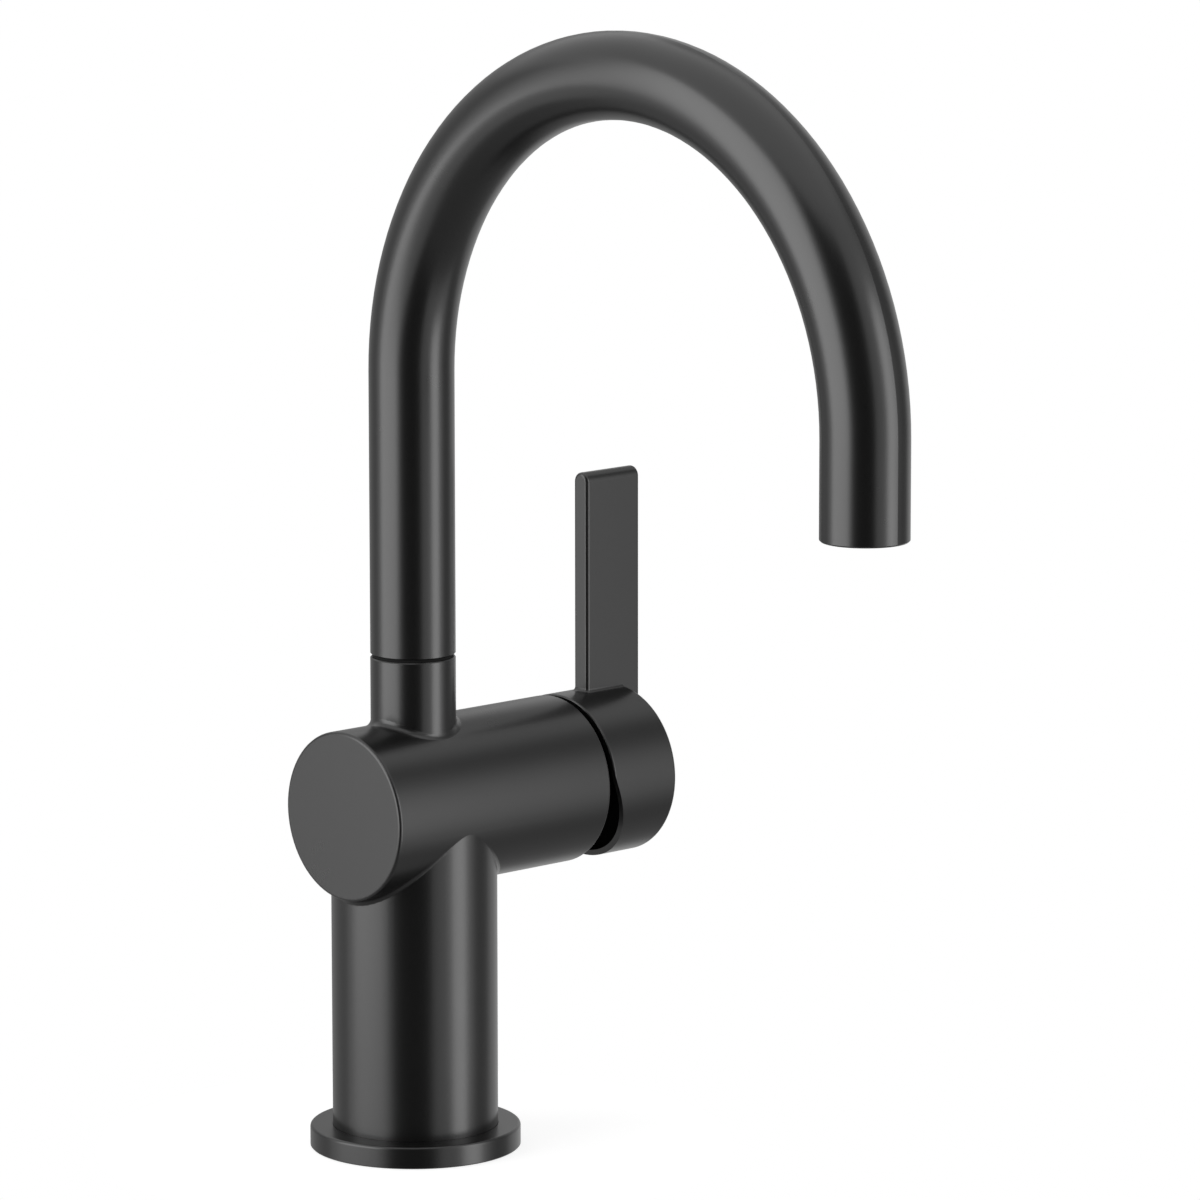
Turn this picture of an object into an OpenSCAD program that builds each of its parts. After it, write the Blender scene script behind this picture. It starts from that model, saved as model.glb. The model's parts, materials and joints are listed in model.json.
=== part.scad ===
// Gooseneck bar faucet with a side lever and a swivelling spout.
// Origin: centre of the base flange's underside, on the column's axis.
// +Z is up, the spout reaches towards -Y and the lever hub stands on the +X side.

/* [Base] */
// Radius of the base flange
flange_r = 29.8; // [29:0.1:34]
// Height of the base flange
flange_h = 6.2; // [5.5:0.1:9]
// Rounding of the flange's top edge
flange_edge_r = 0.8; // [0.4:0.1:1.5]
// Radius of the opening under the flange for hoses and stud
flange_opening_r = 19; // [18:0.1:19.8]
// Thickness of the flange's floor, which carries the column
flange_floor_t = 2.2; // [2:0.1:3]
// Thickness of the sealing ring let into the underside
gasket_t = 1.3; // [1:0.1:1.5]
// Width of the flange's rim outside the sealing ring
gasket_rim = 1.6; // [1.2:0.1:2.4]
// Height of the brass insert in the column's foot
insert_h = 16; // [14.5:0.5:20]

/* [Column and crossbody] */
// Outer radius of the column
column_r = 23.4; // [22.8:0.1:23.5]
// Outer radius of the horizontal crossbody and of the lever hub
crossbody_r = 24; // [23.9:0.1:24.4]
// Height of the crossbody's axis above the counter
axis_h = 98.1; // [94:0.1:104]
// Distance of the crossbody's closed end from the column's axis
closed_end = 26.5; // [26.3:0.1:30]
// Distance of the crossbody's open end from the column's axis
open_end = 53.5; // [53:0.1:56]
// Wall thickness of the cast body
body_wall = 2.5; // [2.3:0.1:2.6]
// Rounding of the closed end's edge
closed_edge_r = 0.9; // [0.4:0.1:1]
// Rounding of the open end's edge
open_edge_r = 0.5; // [0.3:0.1:0.8]
// Radius of the soft fillet between column and crossbody
column_fillet_r = 1.9; // [1.4:0.1:2]
// Radius of the soft fillet between neck and crossbody
neck_fillet_r = 2.3; // [1.6:0.1:3.2]

/* [Spout] */
// Outer radius of the neck and of the spout tube
tube_r = 12; // [11.8:0.1:12.3]
// Wall thickness of the spout tube
tube_wall = 1.6; // [1.5:0.1:1.7]
// Height of the seam where the spout turns on the neck
seam_h = 141.3; // [140:0.1:146]
// Height at which the gooseneck's arch begins
arch_start_h = 221.2; // [205:0.1:235]
// Radius of the arch's centre line, half the spout's reach
arch_r = 88.7; // [70:0.1:100]
// Height of the spout's outlet
outlet_h = 194.6; // [180:0.1:200]

/* [Lever] */
// Length of the lever hub
hub_length = 23.9; // [23.5:0.1:27]
// Gap between crossbody and hub when the lever is shut
hub_gap = 2; // [1.6:0.1:2.5]
// Wall thickness of the hub's skirt
hub_wall = 1.6; // [1.4:0.1:2]
// Width of the flat lever bar
bar_w = 20.6; // [18:0.1:22]
// Thickness of the flat lever bar
bar_t = 5.6; // [5:0.1:7]
// Height of the lever bar's top above the crossbody's axis
bar_rise = 87.3; // [60:0.1:100]
// How far the bar runs past the hub's end
bar_overhang = 5.5; // [4:0.1:7]
// How far the bar's lower end hangs below the crossbody's axis
bar_drop = 12; // [6:0.1:18]
// Rounding of the bar's edges
bar_edge_r = 0.9; // [0.5:0.1:1.2]
// Tilt of the lever from shut to full flow, which the hub's relief allows
lift_angle = 20; // [14:0.5:21]
// Height above the axis at which the hub's relief would begin if its corner were sharp
relief_rise = 3.6; // [2:0.1:5]
// Radius that softens the start of the relief
relief_blend_r = 18; // [10:1:24]
// Radius of the fillet at the foot of the lever bar
bar_fillet_r = 1.2; // [0.8:0.1:1.4]

/* [Waterways] */
// Minor radius of the M10 x 1 hose ports
hose_port_r = 4.46; // [4.46]
// Minor radius of the M8 mounting stud's thread
stud_port_r = 3.32; // [3.32]
// Outer radius of the inlet tubes
inlet_r = 4; // [3.8:0.1:4.1]
// Inner radius of the inlet tubes
inlet_bore_r = 3; // [2.5:0.1:3.1]
// Distance of each inlet tube from the crossbody's middle plane
inlet_y = 8.5; // [8:0.1:9]
// Distance of the inlet tubes from the column's axis, towards the lever
inlet_x = 4; // [3.5:0.1:4.5]
// Depth of the hose ports
hose_port_depth = 10; // [8:0.5:11]
// Distance of the mounting stud from the column's axis, towards the closed end
stud_setback = 12; // [11.5:0.1:13]
// Depth of the mounting stud's thread
stud_depth = 12; // [10:0.5:14]
// Radius of the valve block's feed channels
feed_r = 2.6; // [2.3:0.1:2.7]
// Radius of the mixed water's channel
outlet_port_r = 3.4; // [3:0.1:3.5]

/* [Cartridge] */
// Radius of the ceramic cartridge's housing
cartridge_r = 17.5; // [17.3:0.1:17.6]
// Position of the cartridge's seat along the crossbody
seat_x = 18; // [17.5:0.1:18.5]
// Distance from the seat to the lever's pivot pin
pivot_rise = 22; // [21.8:0.1:22.4]
// Distance from the pivot pin to the lever's ball end
ball_arm = 9; // [8.8:0.1:9.1]
// Wall thickness of the cartridge's housing
housing_wall = 1.9; // [1.7:0.1:1.9]
// Radius of the fixed ceramic disc
disc_r = 13.5; // [13.2:0.1:13.8]
// Radius of the moving ceramic disc
moving_disc_r = 11; // [10.5:0.1:11.5]
// Thickness of each ceramic disc
disc_t = 3.5; // [3.4:0.1:3.6]
// Thickness of the driver that pushes the moving disc
driver_t = 3.2; // [3:0.1:3.3]
// Side of the square stem that carries the lever
stem_w = 8; // [7.6:0.1:8.2]
// Radius of the lever's pivot pin
pin_r = 1.5; // [1.2:0.1:1.6]
// Radius of the stem's ball end
ball_r = 2.4; // [2.2:0.1:2.5]

/* [Swivel] */
// Height of the swivel post above the seam
post_rise = 34.7; // [34:0.1:37]
// Height of the retaining ring above the seam
clip_rise = 31.2; // [30.2:0.1:31.8]
// Outer radius of the swivel post
post_r = 8.8; // [8.7:0.05:8.9]
// Inner radius of the swivel post
post_bore_r = 5.2; // [4.8:0.1:5.4]
// Inner radius of the brass sleeve in the spout's foot
sleeve_bore_r = 9.2; // [9.15:0.05:9.3]
// Height of each of the two bushings
bushing_h = 4; // [3.5:0.1:4.5]
// Wire radius of the swivel's O-rings
o_ring_wire_r = 1; // [0.95:0.01:1.02]
// Thickness of the washer in the seam
washer_t = 0.8; // [0.6:0.1:1]

/* [Aerator] */
// How far the aerator sits inside the outlet's edge
outlet_recess = 1; // [0.5:0.1:2]
// Height of the aerator's housing
aerator_h = 11; // [9:0.5:12]
// Wall thickness of the aerator's housing
aerator_wall = 1.5; // [1.2:0.1:1.8]
// Thickness of the aerator's gasket
aerator_gasket_t = 1.8; // [1.4:0.1:2]

/* [Fits] */
// Radial clearance of parts that turn or slide on each other
running_gap = 0.05; // [0.03:0.01:0.08]
// Radial clearance of fixed parts that slip together
slip_gap = 0.1; // [0.06:0.01:0.15]

/* [Hidden] */
$fn = 96;

matte_black = "#2b2c2e";
brass = "#b8975a";
rubber = "#1b1b1c";
plastic = "#3a3b3d";
white_plastic = "#d9d9d4";
ceramic = "#ece8df";
steel = "#a9abad";

// Cuts run past the faces that they open by this much
through = 1;
half_turn = 180;
quarter_turn = 90;

// Small breaks on turned edges, and the chamfers inside
edge_break = 0.3;
outlet_edge = 0.4;
small_chamfer = 0.5;
thread_chamfer = 0.6;

// How far a fillet's edges and its root lie inside the walls that it joins
fillet_bury = 0.15;
fillet_run = 0.4;
fillet_root = 1.2;

column_bore_r = column_r - body_wall;
crossbody_bore_r = crossbody_r - body_wall;
gasket_margin = 1.2;
tube_land = 1.5;
tube_socket_z = flange_floor_t + hose_port_depth;
tube_foot_z = tube_socket_z + tube_land;

block_r = crossbody_bore_r - slip_gap;
block_reach = 17;
block_socket_drop = 12;
block_socket_z = axis_h - block_socket_drop;
tube_seal_drop = 3;
tube_seal_z = block_socket_z - tube_seal_drop;
feed_drop = 4.1;
feed_z = axis_h - feed_drop;
outlet_port_rise = 6;
outlet_port_z = axis_h + outlet_port_rise;
seal_wire_r = 0.6;

housing_bore_r = cartridge_r - housing_wall;
base_flange_t = 3;
base_spigot_t = 3.3;
spigot_x = seat_x + base_flange_t;
moving_x = spigot_x + disc_t + running_gap;
driver_x = moving_x + disc_t;
carrier_x = driver_x + driver_t + running_gap;
pivot_x = seat_x + pivot_rise;
carrier_shoulder = 4.2;
carrier_shoulder_x = pivot_x + carrier_shoulder;
housing_lid_x = carrier_shoulder_x + running_gap;
housing_lid_t = 2;
housing_top_x = housing_lid_x + housing_lid_t;
carrier_neck_r = 12.4;
carrier_rise = 3;
carrier_top_x = housing_top_x + carrier_rise;
swing_gap = 0.5;
nut_overlap = 1;
nut_x = pivot_x - nut_overlap;
nut_lid_t = 5.2;
nut_top_x = housing_top_x + nut_lid_t;
nut_opening_r = 13.4;

hub_x = open_end + hub_gap;
hub_end_x = hub_x + hub_length;
hub_end_t = 8.4;
cavity_end_x = hub_end_x - hub_end_t;
stem_cover = 2.9;
stem_end_x = hub_end_x - stem_cover;
boss_inset = 4.5;
boss_x = hub_x + boss_inset;
boss_r = 8.6;
bar_x = hub_end_x + bar_overhang - bar_w;
bar_low_z = axis_h - bar_drop + bar_t / 2;
bar_high_z = axis_h + bar_rise - bar_t / 2;
set_screw_inset = 3.4;
set_screw_x = cavity_end_x + set_screw_inset;
set_screw_r = 2.5;

neck_top_z = seam_h - washer_t;
post_thread_r = 7.9;
post_neck_r = 9.4;
post_ledge_rise = 1.9;
post_ledge_z = axis_h + crossbody_r + post_ledge_rise;
post_foot_rise = 10.9;
post_foot_z = axis_h + post_foot_rise;
post_top_z = seam_h + post_rise;
bushing_rises = [1.7, 24.7];
bushing_floor_r = 8.1;
o_ring_rises = [10.7, 18.7];
o_ring_floor_r = 7.1;
groove_share = 1.2;
clip_z = seam_h + clip_rise;
clip_floor_r = 7.7;
clip_r = 9.55;
clip_t = 1;
clip_groove_depth = 0.25;
clip_groove_gap = 0.3;

tube_bore_r = tube_r - tube_wall;
outlet_counterbore = 0.4;
aerator_r = tube_bore_r + outlet_counterbore;
insert_setback = 0.6;
insert_cover = 1.4;

// Points along an arc about c from angle a0 to a1
function arc(c, r, a0, a1, steps = 6) =
    [for (i = [0:steps]) c + r * [cos(a0 + (a1 - a0) * i / steps), sin(a0 + (a1 - a0) * i / steps)]];

// Outline of a rectangle w by t with rounded corners, centred
function rounded_rect(w, t, r) = concat(
    arc([w / 2 - r, t / 2 - r], r, 0, 90),
    arc([r - w / 2, t / 2 - r], r, 90, 180),
    arc([r - w / 2, r - t / 2], r, 180, 270),
    arc([w / 2 - r, r - t / 2], r, 270, 360));

// One cross-section of the fillet that a ball rolls between an upright wall and the crossbody or hub.
// station is [point on the wall's outline, direction of the wall's normal], both seen from above.
// side is 1 above the crossbody's axis and -1 below it.
function fillet_section(station, ball_r, side, steps) =
    let (
        to_wall = [cos(station[1]), sin(station[1]), 0],
        reach = crossbody_r + ball_r,
        foot = station[0] + ball_r * [to_wall.x, to_wall.y],
        centre = [foot.x, foot.y, side * sqrt(reach ^ 2 - foot.y ^ 2)],
        to_body = [0, centre.y, centre.z] / reach,
        spread = acos(to_wall * to_body),
        along_wall = (to_body - cos(spread) * to_wall) / sin(spread),
        along_body = (to_wall - cos(spread) * to_body) / sin(spread),
        middle = (to_wall + to_body) / norm(to_wall + to_body)
    )
    concat(
        [centre - (ball_r + fillet_bury) * to_wall + fillet_run * along_wall],
        [for (i = [1:steps - 1])
            let (turn = spread * i / steps)
            centre - ball_r * (sin(spread - turn) * to_wall + sin(turn) * to_body) / sin(spread)],
        [centre - (ball_r + fillet_bury) * to_body + fillet_run * along_body],
        [centre - (ball_r / cos(spread / 2) + fillet_root) * middle]
    );

// Stations around an upright barrel
function barrel_stations(r, count) =
    [for (i = [0:count - 1]) let (a = i * 360 / count) [r * [cos(a), sin(a)], a]];

// Stations around one rounded corner of an upright bar
function corner_stations(centre, r, from, steps = 6) =
    [for (i = [0:steps]) let (a = from + quarter_turn * i / steps) [centre + r * [cos(a), sin(a)], a]];

// A fillet rolled along stations: a closed ring, or a strip with flat ends
module rolled_fillet(stations, ball_r, side, closed = true, steps = 6) {
    count = steps + 2;
    laps = len(stations);
    points = [for (station = stations) each fillet_section(station, ball_r, side, steps)];
    skin = [for (s = [0:laps - (closed ? 1 : 2)], i = [0:count - 1])
        let (
            a = s * count + i,
            b = s * count + (i + 1) % count,
            c = ((s + 1) % laps) * count + (i + 1) % count,
            d = ((s + 1) % laps) * count + i
        )
        each [[c, b, a], [d, c, a]]];
    root = count - 1;
    last = (laps - 1) * count;
    ends = closed ? [] : [for (i = [0:root - 2])
        each [[root, i, i + 1], [last + root, last + i + 1, last + i]]];
    faces = concat(skin, ends);
    translate([0, 0, axis_h])
        polyhedron(points, side > 0 ? faces : [for (face = faces) [face[2], face[1], face[0]]]);
}

// Turns a profile of [radius, height] points about Z
module turned(points) {
    rotate_extrude() polygon(points);
}

// Places what stands on Z along the crossbody's axis, from x
module along_x(x = 0) {
    translate([x, 0, axis_h]) rotate([0, 90, 0]) children();
}

// A straight ring between two radii
module ring(outer, inner, h) {
    difference() {
        cylinder(r = outer, h = h);
        translate([0, 0, -through]) cylinder(r = inner, h = h + 2 * through);
    }
}

// A round-wire ring lying at height 0
module wire_ring(centre_r, wire_r) {
    rotate_extrude() translate([centre_r, 0]) circle(r = wire_r, $fn = 24);
}

module base_flange() {
    color(matte_black) difference() {
        turned(concat(
            [[flange_opening_r, 0], [flange_r - edge_break, 0], [flange_r, edge_break]],
            arc([flange_r - flange_edge_r, flange_h - flange_edge_r], flange_edge_r, 0, 90),
            [[column_r + slip_gap, flange_h], [column_r + slip_gap, flange_floor_t],
             [flange_opening_r, flange_floor_t]]));
        gasket_space(below = through);
    }
}

// The groove that the sealing ring fills, and how far the cut runs out below it
module gasket_space(below = 0) {
    translate([0, 0, -below]) ring(flange_r - gasket_rim, column_r + gasket_margin, gasket_t + below);
}

module base_gasket() {
    color(rubber) gasket_space();
}

module body_outer() {
    translate([0, 0, flange_floor_t]) cylinder(r = column_r, h = axis_h - flange_floor_t);
    along_x() turned(concat(
        [[0, -closed_end]],
        arc([crossbody_r - closed_edge_r, closed_edge_r - closed_end], closed_edge_r, -90, 0),
        arc([crossbody_r - open_edge_r, open_end - open_edge_r], open_edge_r, 0, 90),
        [[0, open_end]]));
    turned([[0, axis_h], [tube_r, axis_h], [tube_r, neck_top_z - edge_break],
        [tube_r - edge_break, neck_top_z], [0, neck_top_z]]);
    rolled_fillet(barrel_stations(column_r, 72), column_fillet_r, -1);
    rolled_fillet(barrel_stations(tube_r, 48), neck_fillet_r, 1);
}

module body_shell() {
    color(matte_black) difference() {
        body_outer();
        translate([0, 0, flange_floor_t - through])
            cylinder(r = column_bore_r, h = axis_h - flange_floor_t + through);
        along_x(body_wall - closed_end) cylinder(r = crossbody_bore_r, h = closed_end + open_end);
        translate([0, 0, axis_h]) cylinder(r = post_thread_r + slip_gap, h = seam_h - axis_h);
        translate([0, 0, post_ledge_z]) cylinder(r = post_neck_r + slip_gap / 2, h = seam_h - post_ledge_z);
    }
}

module base_insert() {
    color(brass) difference() {
        translate([0, 0, flange_floor_t]) cylinder(r = column_bore_r - slip_gap, h = insert_h);
        for (side = [-1, 1]) translate([inlet_x, side * inlet_y, 0]) {
            cylinder(r = hose_port_r, h = tube_socket_z);
            translate([0, 0, -through]) cylinder(r = inlet_bore_r, h = insert_h + 2 * through);
            translate([0, 0, tube_foot_z]) cylinder(r = inlet_r + slip_gap / 2, h = insert_h);
        }
        translate([-stud_setback, 0, 0]) cylinder(r = stud_port_r, h = flange_floor_t + stud_depth);
    }
}

module inlet_tube(side) {
    color(steel) translate([inlet_x, side * inlet_y, tube_foot_z])
        ring(inlet_r, inlet_bore_r, block_socket_z - tube_foot_z);
}

module hot_inlet_tube() {
    inlet_tube(-1);
}

module cold_inlet_tube() {
    inlet_tube(1);
}

module tube_seals() {
    color(rubber) for (side = [-1, 1])
        translate([inlet_x, side * inlet_y, tube_seal_z]) wire_ring(inlet_r + seal_wire_r, seal_wire_r);
}

module valve_block() {
    color(brass) difference() {
        along_x(-block_reach) cylinder(r = block_r, h = seat_x + block_reach);
        for (side = [-1, 1]) {
            translate([inlet_x, side * inlet_y, axis_h - crossbody_r])
                cylinder(r = inlet_r + slip_gap / 2, h = block_socket_z - axis_h + crossbody_r);
            translate([inlet_x, side * inlet_y, tube_seal_z - seal_wire_r])
                cylinder(r = inlet_r + 2 * seal_wire_r, h = 2 * seal_wire_r);
            translate([inlet_x, side * inlet_y, block_socket_z - through])
                cylinder(r = inlet_bore_r, h = feed_z - block_socket_z + through);
            translate([inlet_x, side * inlet_y, feed_z]) rotate([0, 90, 0]) cylinder(r = feed_r, h = seat_x);
        }
        translate([0, 0, post_foot_z]) cylinder(r = post_thread_r + slip_gap / 2, h = crossbody_r);
        translate([0, 0, outlet_port_z]) cylinder(r = post_bore_r, h = crossbody_r);
        translate([0, 0, outlet_port_z]) rotate([0, 90, 0]) cylinder(r = outlet_port_r, h = seat_x + through);
    }
}

// Places children at the cartridge's three ports, on the plane x
module at_ports(x) {
    translate([x, -inlet_y, feed_z]) rotate([0, 90, 0]) children();
    translate([x, inlet_y, feed_z]) rotate([0, 90, 0]) children();
    translate([x, 0, outlet_port_z]) rotate([0, 90, 0]) children();
}

module port_seals() {
    color(rubber) at_ports(seat_x + seal_wire_r) wire_ring(outlet_port_r + seal_wire_r, seal_wire_r);
}

module cartridge_base() {
    seal_groove_r = outlet_port_r + 2 * seal_wire_r;
    color(white_plastic) difference() {
        union() {
            along_x(seat_x) cylinder(r = cartridge_r - slip_gap, h = base_flange_t);
            along_x(spigot_x) cylinder(r = housing_bore_r - slip_gap, h = base_spigot_t);
        }
        along_x(spigot_x) cylinder(r = disc_r + slip_gap, h = base_spigot_t + through);
        at_ports(seat_x - through) cylinder(r = feed_r, h = base_flange_t + 2 * through);
        at_ports(seat_x - through) cylinder(r = seal_groove_r, h = 2 * seal_wire_r + through);
    }
}

module disc_fixed() {
    color(ceramic) difference() {
        along_x(spigot_x) cylinder(r = disc_r, h = disc_t);
        at_ports(spigot_x - through) cylinder(r = feed_r, h = disc_t + 2 * through);
    }
}

module disc_moving() {
    chamber_rim = 4;
    chamber_depth = 1.4;
    color(ceramic) difference() {
        along_x(moving_x) cylinder(r = moving_disc_r, h = disc_t);
        along_x(moving_x - through)
            cylinder(r = moving_disc_r - chamber_rim, h = chamber_depth + through);
    }
}

module disc_driver() {
    slot = 2 * (ball_r + slip_gap);
    color(plastic) difference() {
        along_x(driver_x) cylinder(r = moving_disc_r, h = driver_t);
        translate([driver_x - through, -slot / 2, axis_h - slot / 2])
            cube([driver_t + 2 * through, slot, slot]);
    }
}

module cartridge_carrier() {
    eye_gap = 1.6;
    tail_slot = 2 * (ball_r + 3 * slip_gap);
    stem_slot = stem_w + 2 * running_gap;
    tail_low = ball_r + swing_gap;
    tail_top = ball_arm * sin(lift_angle) + ball_r + swing_gap;
    neck_drop = (carrier_top_x - pivot_x) * tan(lift_angle) + stem_w / 2 / cos(lift_angle) + swing_gap;
    color(plastic) difference() {
        union() {
            along_x(carrier_x) cylinder(r = housing_bore_r - running_gap, h = carrier_shoulder_x - carrier_x);
            along_x(carrier_x) cylinder(r = carrier_neck_r, h = carrier_top_x - carrier_x);
        }
        translate([carrier_x - through, -tail_slot / 2, axis_h - tail_low])
            cube([pivot_x - carrier_x + through, tail_slot, tail_low + tail_top]);
        translate([pivot_x - stem_w / 2 - eye_gap, -stem_slot / 2, axis_h - neck_drop])
            cube([carrier_top_x - pivot_x + stem_w, stem_slot, neck_drop + stem_w / 2 + eye_gap]);
        translate([pivot_x, -housing_bore_r, axis_h]) rotate([-90, 0, 0])
            cylinder(r = pin_r, h = 2 * housing_bore_r);
    }
}

module carrier_pin() {
    pin_inset = 1;
    pin_length = 2 * (housing_bore_r - pin_inset);
    color(steel) translate([pivot_x, -pin_length / 2, axis_h]) rotate([-90, 0, 0])
        cylinder(r = pin_r, h = pin_length);
}

module cartridge_stem() {
    eye_rim = 0.6;
    eye_r = stem_w / 2 + eye_rim;
    tail_r = 1.7;
    color(brass) difference() {
        union() {
            translate([pivot_x, -stem_w / 2, axis_h - stem_w / 2])
                cube([stem_end_x - pivot_x, stem_w, stem_w]);
            translate([pivot_x, -stem_w / 2, axis_h]) rotate([-90, 0, 0]) cylinder(r = eye_r, h = stem_w);
            along_x(pivot_x - ball_arm) cylinder(r = tail_r, h = ball_arm);
            translate([pivot_x - ball_arm, 0, axis_h]) sphere(r = ball_r, $fn = 32);
        }
        translate([pivot_x, -stem_w, axis_h]) rotate([-90, 0, 0])
            cylinder(r = pin_r + running_gap, h = 2 * stem_w);
    }
}

module cartridge_housing() {
    color(plastic) along_x() turned([
        [housing_bore_r, spigot_x], [cartridge_r, spigot_x], [cartridge_r, housing_top_x - small_chamfer],
        [cartridge_r - small_chamfer, housing_top_x], [carrier_neck_r + running_gap, housing_top_x],
        [carrier_neck_r + running_gap, housing_lid_x], [housing_bore_r, housing_lid_x]]);
}

module cartridge_nut() {
    slot_w = 4;
    slot_length = 3.2;
    slot_depth = 1.8;
    slot_inset = 2.6;
    slot_turn = 60;
    color(brass) difference() {
        along_x() turned([
            [cartridge_r + slip_gap, nut_x], [block_r, nut_x], [block_r, nut_top_x - thread_chamfer],
            [block_r - thread_chamfer, nut_top_x], [nut_opening_r, nut_top_x], [nut_opening_r, housing_top_x],
            [cartridge_r + slip_gap, housing_top_x]]);
        for (turn = [0:slot_turn:360 - slot_turn]) along_x(nut_top_x - slot_depth) rotate([0, 0, turn])
            translate([nut_opening_r + slot_inset, -slot_w / 2, 0])
                cube([slot_length, slot_w, slot_depth + through]);
    }
}

module dust_ring() {
    dust_ring_wall = 2;
    dust_ring_inset = 0.4;
    color(plastic) along_x(nut_top_x)
        ring(block_r, block_r - dust_ring_wall, open_end - dust_ring_inset - nut_top_x);
}

module handle() {
    socket_w = stem_w + slip_gap;
    color(matte_black) difference() {
        union() {
            difference() {
                union() {
                    along_x(hub_x) turned(concat(
                        arc([crossbody_r - open_edge_r, open_edge_r], open_edge_r, -90, 0),
                        arc([crossbody_r - closed_edge_r, hub_length - closed_edge_r], closed_edge_r, 0, 90),
                        [[0, hub_length], [0, 0]]));
                    lever_bar();
                    bar_fillet();
                }
                along_x(hub_x - through)
                    cylinder(r = crossbody_r - hub_wall, h = cavity_end_x - hub_x + through);
                hub_relief();
            }
            along_x(boss_x) cylinder(r = boss_r, h = cavity_end_x - boss_x + through);
        }
        translate([boss_x - through, -socket_w / 2, axis_h - socket_w / 2])
            cube([stem_end_x + slip_gap - boss_x + through, socket_w, socket_w]);
        translate([set_screw_x, 0, axis_h]) rotate([-90, 0, 0])
            cylinder(r = set_screw_r + slip_gap / 2, h = crossbody_r + through);
    }
}

// The space cut from the hub's lower half, which lets the lever tilt
module hub_relief() {
    depth = relief_rise + crossbody_r + through;
    blend_centre = [relief_blend_r, relief_rise + relief_blend_r * tan(lift_angle / 2)];
    translate([hub_x, crossbody_r + through, axis_h]) rotate([90, 0, 0])
        linear_extrude(2 * (crossbody_r + through)) polygon(concat(
            [[-through, blend_centre.y]],
            arc(blend_centre, relief_blend_r, 180, 180 + lift_angle),
            [[depth * tan(lift_angle), relief_rise - depth], [-through, relief_rise - depth]]));
}

// The fillet where the bar leaves the hub, round its front, inner and back faces
module bar_fillet() {
    corner_x = bar_x + bar_edge_r;
    corner_y = bar_t / 2 - bar_edge_r;
    end_x = hub_end_x - closed_edge_r - fillet_bury;
    rolled_fillet(concat(
        [[[end_x, bar_t / 2], 90]],
        corner_stations([corner_x, corner_y], bar_edge_r, 90),
        corner_stations([corner_x, -corner_y], bar_edge_r, 180),
        [[[end_x, -bar_t / 2], 270]]), bar_fillet_r, 1, closed = false);
}

// The flat bar, full round at both ends, with softened edges
module lever_bar() {
    translate([bar_x + bar_w / 2, 0, bar_low_z]) linear_extrude(bar_high_z - bar_low_z)
        polygon(rounded_rect(bar_w, bar_t, bar_edge_r));
    translate([bar_x + bar_w / 2, 0, bar_high_z]) bar_end(quarter_turn);
    translate([bar_x + bar_w / 2, 0, bar_low_z]) bar_end(-quarter_turn);
}

module bar_end(turn) {
    rotate([0, 90, 0]) rotate([0, 0, turn]) rotate_extrude(angle = half_turn) polygon(concat(
        [[0, -bar_w / 2]],
        arc([bar_t / 2 - bar_edge_r, bar_edge_r - bar_w / 2], bar_edge_r, -90, 0),
        arc([bar_t / 2 - bar_edge_r, bar_w / 2 - bar_edge_r], bar_edge_r, 0, 90),
        [[0, bar_w / 2]]));
}

module set_screw() {
    screw_length = 8;
    cup_chamfer = 0.8;
    key_r = 1.44;
    key_depth = 2.5;
    color(steel) translate([set_screw_x, stem_w / 2, axis_h]) rotate([-90, 0, 0]) difference() {
        turned([[0, 0], [set_screw_r - cup_chamfer, 0], [set_screw_r, cup_chamfer],
            [set_screw_r, screw_length], [0, screw_length]]);
        translate([0, 0, screw_length - key_depth]) cylinder(r = key_r, h = key_depth + through, $fn = 6);
    }
}

module swivel_post() {
    color(brass) difference() {
        turned([[post_bore_r, post_foot_z], [post_thread_r, post_foot_z], [post_thread_r, post_ledge_z],
            [post_neck_r, post_ledge_z], [post_neck_r, neck_top_z], [post_r, neck_top_z],
            [post_r, post_top_z - thread_chamfer], [post_r - thread_chamfer, post_top_z],
            [post_bore_r, post_top_z]]);
        for (rise = bushing_rises) translate([0, 0, seam_h + rise - running_gap])
            ring(post_r + through, bushing_floor_r, bushing_h + 2 * running_gap);
        for (rise = o_ring_rises) translate([0, 0, seam_h + rise - groove_share * o_ring_wire_r])
            ring(post_r + through, o_ring_floor_r, 2 * groove_share * o_ring_wire_r);
        translate([0, 0, clip_z - running_gap])
            ring(post_r + through, clip_floor_r, clip_t + 2 * running_gap);
    }
}

module swivel_washer() {
    washer_inset = 0.6;
    color(rubber) translate([0, 0, neck_top_z]) ring(tube_r - washer_inset, post_r + slip_gap, washer_t);
}

module swivel_bushings() {
    color(white_plastic) for (rise = bushing_rises) translate([0, 0, seam_h + rise])
        ring(sleeve_bore_r - running_gap, bushing_floor_r + running_gap, bushing_h);
}

module swivel_o_rings() {
    color(rubber) for (rise = o_ring_rises) translate([0, 0, seam_h + rise])
        wire_ring(sleeve_bore_r - running_gap - o_ring_wire_r, o_ring_wire_r);
}

module retaining_ring() {
    opening_w = 8;
    color(steel) translate([0, 0, clip_z]) difference() {
        ring(clip_r, clip_floor_r + running_gap, clip_t);
        translate([0, -opening_w / 2, -through]) cube([2 * clip_r, opening_w, clip_t + 2 * through]);
    }
}

module spout_sleeve() {
    sleeve_margin = 1;
    color(brass) difference() {
        translate([0, 0, seam_h + running_gap]) ring(tube_bore_r, sleeve_bore_r, post_rise + sleeve_margin);
        translate([0, 0, clip_z - clip_groove_gap])
            cylinder(r = clip_r + clip_groove_depth, h = clip_t + 2 * clip_groove_gap);
    }
}

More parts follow.
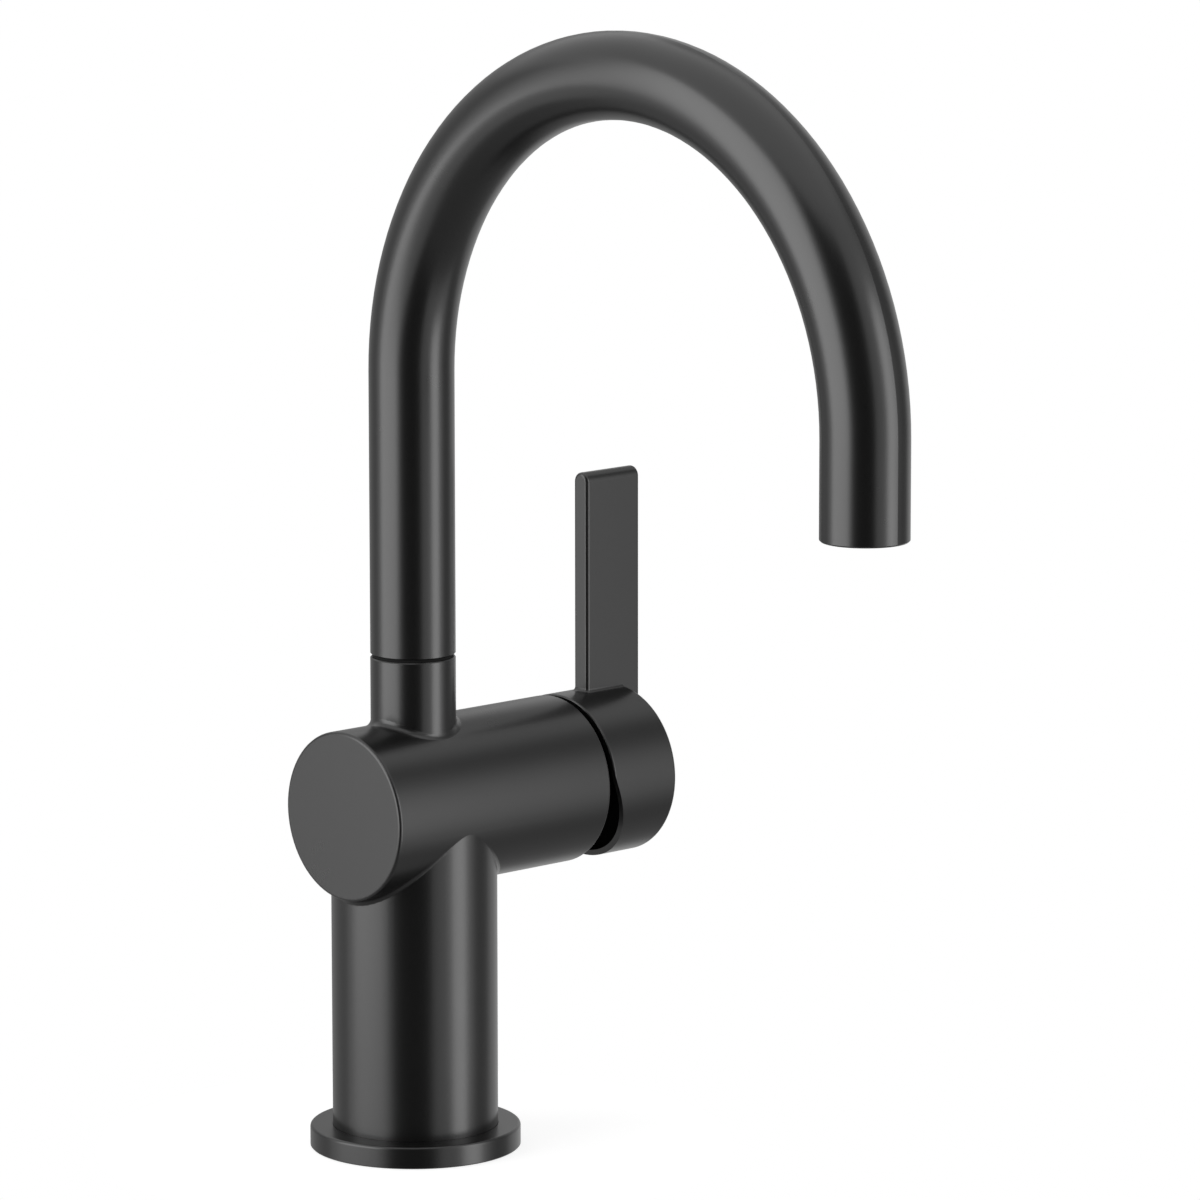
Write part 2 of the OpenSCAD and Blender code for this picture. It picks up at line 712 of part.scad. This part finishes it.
module spout_tube() {
    foot_z = seam_h + running_gap;
    seat_z = outlet_recess + aerator_h + aerator_gasket_t;
    color(matte_black) difference() {
        gooseneck(foot_z);
        translate([0, 0, foot_z]) edge_cut(tube_r, edge_break);
        at_outlet(0) edge_cut(tube_r, outlet_edge);
        at_outlet(-through) cylinder(r = aerator_r, h = seat_z + through);
    }
}

// The bent tube: riser, half-circle arch and outlet leg, drawn in the arch's own plane
module gooseneck(foot_z) {
    translate([0, -arch_r, arch_start_h]) rotate([90, 0, 90]) {
        rotate_extrude(angle = half_turn) tube_section();
        rotate([90, 0, 0]) linear_extrude(arch_start_h - foot_z) tube_section();
        mirror([1, 0, 0]) rotate([90, 0, 0]) linear_extrude(arch_start_h - outlet_h) tube_section();
    }
}

// The tube's cross-section, at the arch's radius
module tube_section() {
    translate([arch_r, 0]) difference() {
        circle(r = tube_r);
        circle(r = tube_bore_r);
    }
}

// What a chamfer takes off the lower edge of an upright tube
module edge_cut(r, chamfer) {
    turned([[r - chamfer - through, -through], [r + through, -through], [r + through, chamfer + through]]);
}

// Places children at the spout's outlet, z above its lower edge
module at_outlet(z) {
    translate([0, -2 * arch_r, outlet_h + z]) children();
}

module aerator_housing() {
    key_slots = 4;
    slot_w = 2.4;
    slot_h = 1.2;
    color(plastic) at_outlet(outlet_recess) difference() {
        ring(aerator_r - slip_gap / 2, aerator_r - aerator_wall, aerator_h);
        for (i = [1:key_slots]) rotate([0, 0, i * 360 / key_slots])
            translate([0, -slot_w / 2, -through]) cube([aerator_r + through, slot_w, slot_h + through]);
    }
}

module aerator_insert() {
    insert_r = aerator_r - aerator_wall - slip_gap / 2;
    hole_r = 0.8;
    pitch = 2.9;
    color(white_plastic) at_outlet(outlet_recess + insert_setback) difference() {
        cylinder(r = insert_r, h = aerator_h - insert_setback - insert_cover);
        translate([0, 0, -through]) cylinder(r = hole_r, h = aerator_h);
        for (row = [1:2], turn = [0:60 / row:359])
            rotate([0, 0, turn]) translate([row * pitch, 0, -through]) cylinder(r = hole_r, h = aerator_h);
    }
}

module aerator_gasket() {
    lip = 1;
    color(rubber) at_outlet(outlet_recess + aerator_h)
        ring(aerator_r - slip_gap / 2, aerator_r - aerator_wall - lip, aerator_gasket_t);
}

base_flange();
base_gasket();
body_shell();
base_insert();
hot_inlet_tube();
cold_inlet_tube();
tube_seals();
valve_block();
port_seals();
cartridge_base();
disc_fixed();
disc_moving();
disc_driver();
cartridge_carrier();
carrier_pin();
cartridge_stem();
cartridge_housing();
cartridge_nut();
dust_ring();
handle();
set_screw();
swivel_post();
swivel_washer();
swivel_bushings();
swivel_o_rings();
retaining_ring();
spout_sleeve();
spout_tube();
aerator_housing();
aerator_insert();
aerator_gasket();
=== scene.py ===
"""A gooseneck bar faucet in matte black: finishes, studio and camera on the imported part.

Metres throughout, in the part's own frame: +Z up, the spout towards -Y, the lever on +X.
"""

import json
import math

import bpy
from mathutils import Matrix, Vector

# Camera, solved from the photograph's outlines; its azimuth and shift are fitted to the part as built
CAMERA_AIM = Vector((0, -0.0766, 0.16865))
CAMERA_DISTANCE = 1.9716
CAMERA_AZIMUTH = math.radians(-43.28)
CAMERA_ELEVATION = math.radians(9.917)
CAMERA_ROLL = math.radians(-0.053)
CAMERA_SHIFT = (-0.00032, -0.00762)
LENS_MM = 217.5
SENSOR_MM = 36
CLIP_START = 0.05
CLIP_END = 60

# Studio. Turns are degrees from the camera's line, seen from the object, + to the right.
STUDIO_DISTANCE = 2.4
ROOM_LEVEL = 0.5
WHITE_LEVEL = 1.0
WHITE = (1, 1, 1, 1)

# A panel's radiance is the lamp's own: the white room behind it adds 1 in reflections
LEFT_PANEL = dict(turns=(-91, -38), heights=(-0.52, 2.44), radiance=2.7)
RIGHT_PANEL = dict(turns=(55, 78), heights=(-0.96, 1.44), radiance=3.1)
TOP_PANEL = dict(side=4.0, height=3.0, radiance=0.2)

# Cards, which show only in reflections; a shade is a share of the room's white
CARD_STEP = 5
CARD_FOOT = -1.8
CARD_HEAD = 2.6
BACK_CARD_HEAD = 1.5
LEFT_CARD_HEAD = 1.2
CARDS = {
    "front_card": dict(turns=(-30, 26), heights=(CARD_FOOT, CARD_HEAD), shade=0.05),
    "right_card": dict(turns=(92, 124), heights=(CARD_FOOT, CARD_HEAD), shade=0.3),
    "back_card": dict(turns=(124, 180), heights=(CARD_FOOT, BACK_CARD_HEAD), shade=0.72),
    "high_card": dict(turns=(124, 180), heights=(BACK_CARD_HEAD, CARD_HEAD), shade=0.42),
    "left_card": dict(turns=(-180, -105), heights=(CARD_FOOT, LEFT_CARD_HEAD), shade=0.42),
}
LOW_CARD = dict(radii=(0.02, STUDIO_DISTANCE), z=CARD_FOOT, shade=0.33)
CIRCLE_SIDES = 96

# Table top: a small disc, whose glow makes up for what its diffuse part lacks of white
FLOOR_RADIUS = 0.09
FLOOR_Z = -0.0002
FLOOR_COLOUR = 0.8
FLOOR_SHADED_PART = 0.35
FLOOR_GLOW = 0.80

# Where the turned pieces have their axes
COLUMN_AXIS = (Vector((0, 0, 0)), "Z")
CARTRIDGE_AXIS = (Vector((0, 0, 0.0981)), "X")

# What is bare metal or plastic, from its darker to its lighter shade
BRASS = dict(dark=(0.62, 0.44, 0.19), light=(0.74, 0.56, 0.27), roughness=0.27)
STEEL = dict(dark=(0.50, 0.50, 0.50), light=(0.62, 0.62, 0.61), roughness=0.30)
# Near-black brass for the cartridge's nut and stem: painted shade for the dark gap in the handle's hub
PAINTED_SHADE_BRASS = dict(dark=(0.020, 0.018, 0.016), light=(0.032, 0.029, 0.025), roughness=0.5)
BLACK_PLASTIC = dict(dark=(0.016, 0.016, 0.017), light=(0.022, 0.022, 0.023), roughness=0.42)
WHITE_PLASTIC = dict(dark=(0.66, 0.66, 0.64), light=(0.72, 0.72, 0.70), roughness=0.38)

# Fillets come as small flat facets; they are welded, and a bend over the sharp angle stays an edge
WITH_FILLETS = ("body_shell", "handle")
FACET_AREA = 0.000004
WELD_DISTANCE = 0.000002
SHARP_ANGLE = math.radians(33)

# The hollow of the handle's hub, round the cartridge's axis, where shade is painted in
CAVITY_RADIUS = 0.0225
CAVITY_END = 0.0711

# Pieces with another finish than their slot's own
ON_CARTRIDGE_AXIS = ("valve_block", "cartridge_nut", "cartridge_stem", "set_screw", "carrier_pin")
# The cartridge's nut and stem are near-black: painted shade where they show in the hub's gap
PAINTED_SHADE_PIECES = ("cartridge_nut", "cartridge_stem")

# The Mix node's sockets for colours, which share their names with its sockets for numbers
MIX_FACTOR = 0
MIX_DARK = 6
MIX_LIGHT = 7
MIX_RESULT = 2

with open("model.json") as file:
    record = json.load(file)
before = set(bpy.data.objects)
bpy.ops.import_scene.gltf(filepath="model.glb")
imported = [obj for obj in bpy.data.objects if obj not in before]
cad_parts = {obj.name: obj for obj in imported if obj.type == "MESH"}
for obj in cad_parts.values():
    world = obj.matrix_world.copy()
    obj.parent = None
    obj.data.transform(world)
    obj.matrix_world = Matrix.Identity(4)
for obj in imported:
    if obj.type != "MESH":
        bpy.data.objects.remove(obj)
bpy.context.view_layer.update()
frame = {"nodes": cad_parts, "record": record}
nodes = frame["nodes"]


# Building blocks for node trees


class NodeTree:
    """A tree of nodes that is being filled."""

    def __init__(self, tree):
        self.tree = tree

    def add(self, kind, inputs=(), **settings):
        """A new node; each input is given a value, or the output that it is linked to."""
        node = self.tree.nodes.new(kind)
        for name, value in settings.items():
            setattr(node, name, value)
        for key, source in dict(inputs).items():
            if isinstance(source, bpy.types.NodeSocket):
                self.link(source, node.inputs[key])
            else:
                node.inputs[key].default_value = source
        return node

    def output(self, kind, inputs=(), **settings):
        """The first output of a new node."""
        return self.add(kind, inputs, **settings).outputs[0]

    def link(self, source, target):
        self.tree.links.new(source, target)


def emptied(owner):
    """The shader tree of a material or a world, with nothing in it."""
    owner.use_nodes = True
    owner.node_tree.nodes.clear()
    return owner.node_tree


def grey(level):
    return (level, level, level)


class Finish(NodeTree):
    """A principled material that is being made, with patterns in metres on the object."""

    def __init__(self, name, colour, roughness, metallic=0.0, specular=0.5):
        self.material = bpy.data.materials.new(name)
        super().__init__(emptied(self.material))
        self.shader = self.add("ShaderNodeBsdfPrincipled", {
            "Base Color": (*colour, 1),
            "Roughness": roughness,
            "Metallic": metallic,
            "Specular IOR Level": specular,
        })
        self.add("ShaderNodeOutputMaterial", {"Surface": self.shader.outputs["BSDF"]})
        self.place = self.add("ShaderNodeTexCoord").outputs["Object"]

    def noise(self, scale, detail=2.0, where=None):
        """A 0 to 1 pattern; scale counts its features to the metre."""
        place = self.place if where is None else where
        made = self.add("ShaderNodeTexNoise", {"Vector": place, "Scale": scale, "Detail": detail})
        return made.outputs["Fac"]

    def around(self, centre, axis):
        """A place as its distance from an axis and its place along it, where noise makes turned rings."""
        across = [0 if name == axis else 1 for name in "XYZ"]
        shift = self.output("ShaderNodeVectorMath", {0: self.place, 1: centre}, operation="SUBTRACT")
        flat = self.output("ShaderNodeVectorMath", {0: shift, 1: across}, operation="MULTIPLY")
        radius = self.add("ShaderNodeVectorMath", {0: flat}, operation="LENGTH").outputs["Value"]
        along = self.add("ShaderNodeSeparateXYZ", {0: shift}).outputs[axis]
        return self.output("ShaderNodeCombineXYZ", {"X": radius, "Y": along})

    def vary_colour(self, pattern, dark, light):
        shades = {MIX_FACTOR: pattern, MIX_DARK: (*dark, 1), MIX_LIGHT: (*light, 1)}
        mix = self.add("ShaderNodeMix", shades, data_type="RGBA")
        self.link(mix.outputs[MIX_RESULT], self.shader.inputs["Base Color"])

    def vary_roughness(self, pattern, low, high):
        spread = self.add("ShaderNodeMapRange", {"Value": pattern, "To Min": low, "To Max": high})
        self.link(spread.outputs["Result"], self.shader.inputs["Roughness"])

    def bump(self, pattern, depth):
        raised = self.output("ShaderNodeBump", {"Height": pattern, "Distance": depth})
        self.link(raised, self.shader.inputs["Normal"])


# Finishes


def matte_black():
    """Fine powder coat: nearly black and silky, with a faint grain."""
    coat = Finish("matte_black_coat", grey(0.003), roughness=0.28, specular=0.62)
    coat.vary_roughness(coat.noise(scale=60), low=0.265, high=0.295)
    coat.vary_colour(coat.noise(scale=900), dark=grey(0.0024), light=grey(0.0036))
    coat.bump(coat.noise(scale=2600, detail=3), depth=0.000003)
    return coat.material


def cavity_painted_shade():
    """The hub's hollow: painted shade, a darker black that hardly shines, on a thin, dull overspray."""
    shade_spray = Finish("cavity_painted_shade", grey(0.0016), roughness=0.85, specular=0.06)
    mottle = shade_spray.noise(scale=700, detail=4)
    shade_spray.vary_colour(mottle, dark=grey(0.001), light=grey(0.0024))
    shade_spray.vary_roughness(mottle, low=0.77, high=0.93)
    shade_spray.bump(mottle, depth=0.00001)
    return shade_spray.material


def turned_metal(name, axis, dark, light, roughness):
    """Bare metal with the fine rings that a lathe leaves."""
    metal = Finish(name, light, roughness, metallic=1.0)
    rings = metal.noise(scale=4200, detail=4, where=metal.around(*axis))
    metal.vary_colour(metal.noise(scale=140), dark, light)
    metal.vary_roughness(rings, low=roughness - 0.07, high=roughness + 0.09)
    metal.bump(rings, depth=0.000012)
    return metal.material


def rubber():
    """Black rubber: dull, with a dusty bloom."""
    skin = Finish("rubber", grey(0.006), roughness=0.7, specular=0.12)
    bloom = skin.noise(scale=450, detail=4)
    skin.vary_colour(bloom, dark=grey(0.003), light=grey(0.009))
    skin.vary_roughness(bloom, low=0.62, high=0.8)
    skin.bump(skin.noise(scale=3000), depth=0.00001)
    return skin.material


def plastic(name, dark, light, roughness):
    """Moulded plastic: a fine spark-eroded grain and slightly uneven gloss."""
    skin = Finish(name, light, roughness, specular=0.45)
    skin.vary_colour(skin.noise(scale=220), dark, light)
    grain = skin.noise(scale=5200, detail=3)
    skin.vary_roughness(grain, low=roughness - 0.05, high=roughness + 0.07)
    skin.bump(grain, depth=0.000008)
    return skin.material


def ceramic():
    """Lapped alumina: dense, ivory and almost a mirror."""
    disc = Finish("ceramic", (0.80, 0.78, 0.70), roughness=0.1, specular=0.6)
    specks = disc.noise(scale=1800, detail=4)
    disc.vary_colour(specks, dark=(0.76, 0.735, 0.65), light=(0.84, 0.82, 0.745))
    disc.vary_roughness(specks, low=0.07, high=0.16)
    return disc.material


# One finish for each slot of the record; bare metal has one for each axis that it was turned on
FINISHES = {
    "matte_black": matte_black(),
    "brass": turned_metal("brass_column", COLUMN_AXIS, **BRASS),
    "steel": turned_metal("steel_column", COLUMN_AXIS, **STEEL),
    "rubber": rubber(),
    "black_plastic": plastic("black_plastic", **BLACK_PLASTIC),
    "white_plastic": plastic("white_plastic", **WHITE_PLASTIC),
    "ceramic": ceramic(),
}
CARTRIDGE_FINISHES = {
    "brass": turned_metal("brass_cartridge", CARTRIDGE_AXIS, **BRASS),
    "steel": turned_metal("steel_cartridge", CARTRIDGE_AXIS, **STEEL),
}
# Painted shade for the handle's hollow: a darker black with almost no shine
CAVITY_SHADE_FINISH = cavity_painted_shade()
# Painted shade for the nut and stem inside the handle's hub
PAINTED_SHADE_FINISH = turned_metal("brass_in_painted_shade", CARTRIDGE_AXIS, **PAINTED_SHADE_BRASS)


def dress_frame():
    """Gives each carried node its finish."""
    for part in frame["record"]["subparts"]:
        slot = part["material_slot"]
        finish = FINISHES[slot]
        if part["node"] in ON_CARTRIDGE_AXIS:
            finish = CARTRIDGE_FINISHES[slot]
        # The nut and stem take painted shade instead of their slot's metal
        if part["node"] in PAINTED_SHADE_PIECES:
            finish = PAINTED_SHADE_FINISH
        mesh = nodes[part["node"]].data
        mesh.materials.clear()
        mesh.materials.append(finish)


# Shading of the rounded forms


def geometry_group(name):
    """A modifier's node group, with one geometry in and one out."""
    group = bpy.data.node_groups.new(name, "GeometryNodeTree")
    for way in ("INPUT", "OUTPUT"):
        group.interface.new_socket("Geometry", in_out=way, socket_type="NodeSocketGeometry")
    return group


def blend_shading():
    """Shades a fillet's facets as one surface and leaves all other faces as they are."""
    group = geometry_group("blend_shading")
    tree = NodeTree(group)
    smooth = tree.output("GeometryNodeInputShadeSmooth")
    flat = tree.output("FunctionNodeBooleanMath", {0: smooth}, operation="NOT")
    area = tree.output("GeometryNodeInputMeshFaceArea")
    small = tree.output("FunctionNodeCompare", {"A": area, "B": FACET_AREA}, operation="LESS_THAN")
    facet = tree.output("FunctionNodeBooleanMath", {0: flat, 1: small}, operation="AND")
    picked = {"Geometry": tree.output("NodeGroupInput"), "Selection": facet}
    facets = tree.add("GeometryNodeSeparateGeometry", picked, domain="FACE").outputs
    near = {"Geometry": facets["Selection"], "Distance": WELD_DISTANCE}
    welded = tree.output("GeometryNodeMergeByDistance", near)
    bend = tree.output("GeometryNodeInputMeshEdgeAngle")
    sharp = tree.output("FunctionNodeCompare", {"A": bend, "B": SHARP_ANGLE}, operation="GREATER_THAN")
    edges = {"Mesh": welded, "Remove Custom": True, "Edge Sharpness": sharp}
    rounded = tree.output("GeometryNodeSetMeshNormal", edges, mode="SHARPNESS")
    joined = tree.add("GeometryNodeJoinGeometry", {"Geometry": rounded})
    tree.link(facets["Inverted"], joined.inputs["Geometry"])
    tree.add("NodeGroupOutput", {"Geometry": joined.outputs[0]})
    return group


def paint_cavity_shade():
    """Gives the inside of the handle's hub its painted-shade finish, by place: inside the bore and before
    its end.
    """
    group = geometry_group("paint_cavity_shade")
    tree = NodeTree(group)
    position = tree.output("GeometryNodeInputPosition")
    parts = tree.add("ShaderNodeSeparateXYZ", {"Vector": position}).outputs
    height = tree.output("ShaderNodeMath", {0: parts["Z"], 1: CARTRIDGE_AXIS[0].z}, operation="SUBTRACT")
    off_axis = tree.output("ShaderNodeCombineXYZ", {"X": parts["Y"], "Y": height})
    radius = tree.add("ShaderNodeVectorMath", {0: off_axis}, operation="LENGTH").outputs["Value"]
    within = tree.output("FunctionNodeCompare", {"A": radius, "B": CAVITY_RADIUS}, operation="LESS_THAN")
    before = tree.output("FunctionNodeCompare", {"A": parts["X"], "B": CAVITY_END}, operation="LESS_THAN")
    inside = tree.output("FunctionNodeBooleanMath", {0: within, 1: before}, operation="AND")
    picked = {"Geometry": tree.output("NodeGroupInput"), "Selection": inside, "Material": CAVITY_SHADE_FINISH}
    tree.add("NodeGroupOutput", {"Geometry": tree.output("GeometryNodeSetMaterial", picked)})
    return group


def finish_forms():
    """Blends the rolled fillets of the body and the handle, and paints shade into the handle's hollow."""
    group = blend_shading()
    for name in WITH_FILLETS:
        nodes[name].modifiers.new("blend_shading", "NODES").node_group = group
    nodes["handle"].modifiers.new("paint_cavity_shade", "NODES").node_group = paint_cavity_shade()


# Studio


def outwards(turn):
    """The level direction at a number of degrees from the camera's line, seen from the object."""
    angle = CAMERA_AZIMUTH + math.radians(turn)
    return Vector((math.sin(angle), -math.cos(angle), 0))


def soft_light(name, width, height, radiance, middle, facing):
    """A flat soft light; an area lamp's energy is its radiance times its area times pi."""
    data = bpy.data.lights.new(name, "AREA")
    data.shape = "RECTANGLE"
    data.size = width
    data.size_y = height
    data.energy = radiance * width * height * math.pi
    lamp = bpy.data.objects.new(name, data)
    lamp.location = middle
    lamp.rotation_euler = facing.to_track_quat("-Z", "Y").to_euler()
    lamp.visible_camera = False
    bpy.context.scene.collection.objects.link(lamp)


def side_panel(name, turns, heights, radiance):
    """A tall soft light that stands upright beside the object."""
    first, last = turns
    low, high = heights
    away = outwards((first + last) / 2)
    width = 2 * STUDIO_DISTANCE * math.tan(math.radians(last - first) / 2)
    middle = away * STUDIO_DISTANCE + Vector((0, 0, (low + high) / 2))
    soft_light(name, width, high - low, radiance, middle, -away)


def top_panel(name, side, height, radiance):
    """A square soft light above the object."""
    soft_light(name, side, side, radiance, Vector((0, 0, height)), Vector((0, 0, -1)))


def stage_mesh(name, points, faces, finish):
    """A mesh that belongs to the studio, not to the object."""
    mesh = bpy.data.meshes.new(name)
    mesh.from_pydata(points, [], faces)
    mesh.materials.append(finish)
    made = bpy.data.objects.new(name, mesh)
    bpy.context.scene.collection.objects.link(made)
    return made


def card_finish(name, shade):
    """A plain shade that stays the same however it is lit."""
    made = bpy.data.materials.new(name)
    tree = NodeTree(emptied(made))
    glow = tree.output("ShaderNodeEmission", {"Strength": shade})
    tree.add("ShaderNodeOutputMaterial", {"Surface": glow})
    made.cycles.emission_sampling = "NONE"
    return made


def mirrored_card(name, points, faces, shade):
    """A card for the coat to mirror: it casts no light and no shadow, and doesn't show."""
    made = stage_mesh(name, points, faces, card_finish(name, shade))
    made.visible_camera = False
    made.visible_diffuse = False
    made.visible_shadow = False
    made.visible_transmission = False


def side_card(name, turns, heights, shade):
    """A card curved round the object, from turn to turn."""
    first, last = turns
    steps = math.ceil((last - first) / CARD_STEP)
    spots = [outwards(first + (last - first) * i / steps) * STUDIO_DISTANCE for i in range(steps + 1)]
    points = [spot + Vector((0, 0, z)) for spot in spots for z in heights]
    faces = [(2 * i, 2 * i + 2, 2 * i + 3, 2 * i + 1) for i in range(steps)]
    mirrored_card(name, points, faces, shade)


def circle(radius, z):
    """Points round the column's axis."""
    turns = [2 * math.pi / CIRCLE_SIDES * i for i in range(CIRCLE_SIDES)]
    return [(radius * math.cos(turn), radius * math.sin(turn), z) for turn in turns]


def ring_card(name, radii, z, shade):
    """A flat card that lies round the column's axis."""
    inner, outer = (circle(radius, z) for radius in radii)
    sides = [(i, (i + 1) % CIRCLE_SIDES) for i in range(CIRCLE_SIDES)]
    faces = [(i, CIRCLE_SIDES + i, CIRCLE_SIDES + j, j) for i, j in sides]
    mirrored_card(name, inner + outer, faces, shade)


def seen_directly(tree):
    """1 for rays from the camera, from reflections and through glass."""
    path = tree.add("ShaderNodeLightPath").outputs
    rays = {0: path["Is Camera Ray"], 1: path["Is Glossy Ray"]}
    first = tree.output("ShaderNodeMath", rays, operation="MAXIMUM")
    rays = {0: first, 1: path["Is Transmission Ray"]}
    return tree.output("ShaderNodeMath", rays, operation="MAXIMUM")


def by_ray(tree, lighting, seen):
    """One shader for the light that something gives, and another for how it looks."""
    return tree.output("ShaderNodeMixShader", {"Fac": seen_directly(tree), 1: lighting, 2: seen})


def pale_floor():
    """White to the eye, and still taking the object's shadow."""
    made = bpy.data.materials.new("pale_floor")
    tree = NodeTree(emptied(made))
    plain = tree.output("ShaderNodeBsdfDiffuse", {"Color": (*grey(FLOOR_COLOUR), 1)})
    shaded = tree.output("ShaderNodeBsdfDiffuse", {"Color": (*grey(FLOOR_SHADED_PART), 1)})
    glow = tree.output("ShaderNodeEmission", {"Strength": FLOOR_GLOW})
    white = tree.output("ShaderNodeAddShader", {0: shaded, 1: glow})
    tree.add("ShaderNodeOutputMaterial", {"Surface": by_ray(tree, plain, white)})
    made.cycles.emission_sampling = "NONE"
    return made


def table_top():
    """The floor under the flange."""
    rim = circle(FLOOR_RADIUS, FLOOR_Z)
    floor = stage_mesh("floor", rim, [tuple(range(CIRCLE_SIDES))], pale_floor())
    floor.visible_glossy = False  # the flange mirrors the studio, as if it stood on nothing


def room():
    """White to the camera, to reflections and through glass; a plain grey level to everything else."""
    world = bpy.data.worlds.new("room")
    bpy.context.scene.world = world
    tree = NodeTree(emptied(world))
    lit = tree.output("ShaderNodeBackground", {"Color": WHITE, "Strength": ROOM_LEVEL})
    white = tree.output("ShaderNodeBackground", {"Color": WHITE, "Strength": WHITE_LEVEL})
    tree.add("ShaderNodeOutputWorld", {"Surface": by_ray(tree, lit, white)})


def studio():
    """Soft panels, the cards that the coat mirrors, a table top and a white room."""
    side_panel("left_panel", **LEFT_PANEL)
    side_panel("right_panel", **RIGHT_PANEL)
    top_panel("top_panel", **TOP_PANEL)
    for name, sizes in CARDS.items():
        side_card(name, **sizes)
    ring_card("low_card", **LOW_CARD)
    table_top()
    room()


def camera():
    """The photograph's view."""
    data = bpy.data.cameras.new("camera")
    data.lens = LENS_MM
    data.sensor_width = SENSOR_MM
    data.shift_x, data.shift_y = CAMERA_SHIFT
    data.clip_start = CLIP_START
    data.clip_end = CLIP_END
    made = bpy.data.objects.new("camera", data)
    bpy.context.scene.collection.objects.link(made)
    back = Vector((
        math.sin(CAMERA_AZIMUTH) * math.cos(CAMERA_ELEVATION),
        -math.cos(CAMERA_AZIMUTH) * math.cos(CAMERA_ELEVATION),
        math.sin(CAMERA_ELEVATION),
    ))
    turn = (
        Matrix.Rotation(CAMERA_AZIMUTH, 4, "Z")
        @ Matrix.Rotation(math.pi / 2 - CAMERA_ELEVATION, 4, "X")
        @ Matrix.Rotation(CAMERA_ROLL, 4, "Z")
    )
    made.matrix_world = Matrix.Translation(CAMERA_AIM + back * CAMERA_DISTANCE) @ turn
    bpy.context.scene.camera = made


dress_frame()
finish_forms()
studio()
camera()
bpy.context.scene.view_settings.view_transform = "Standard"
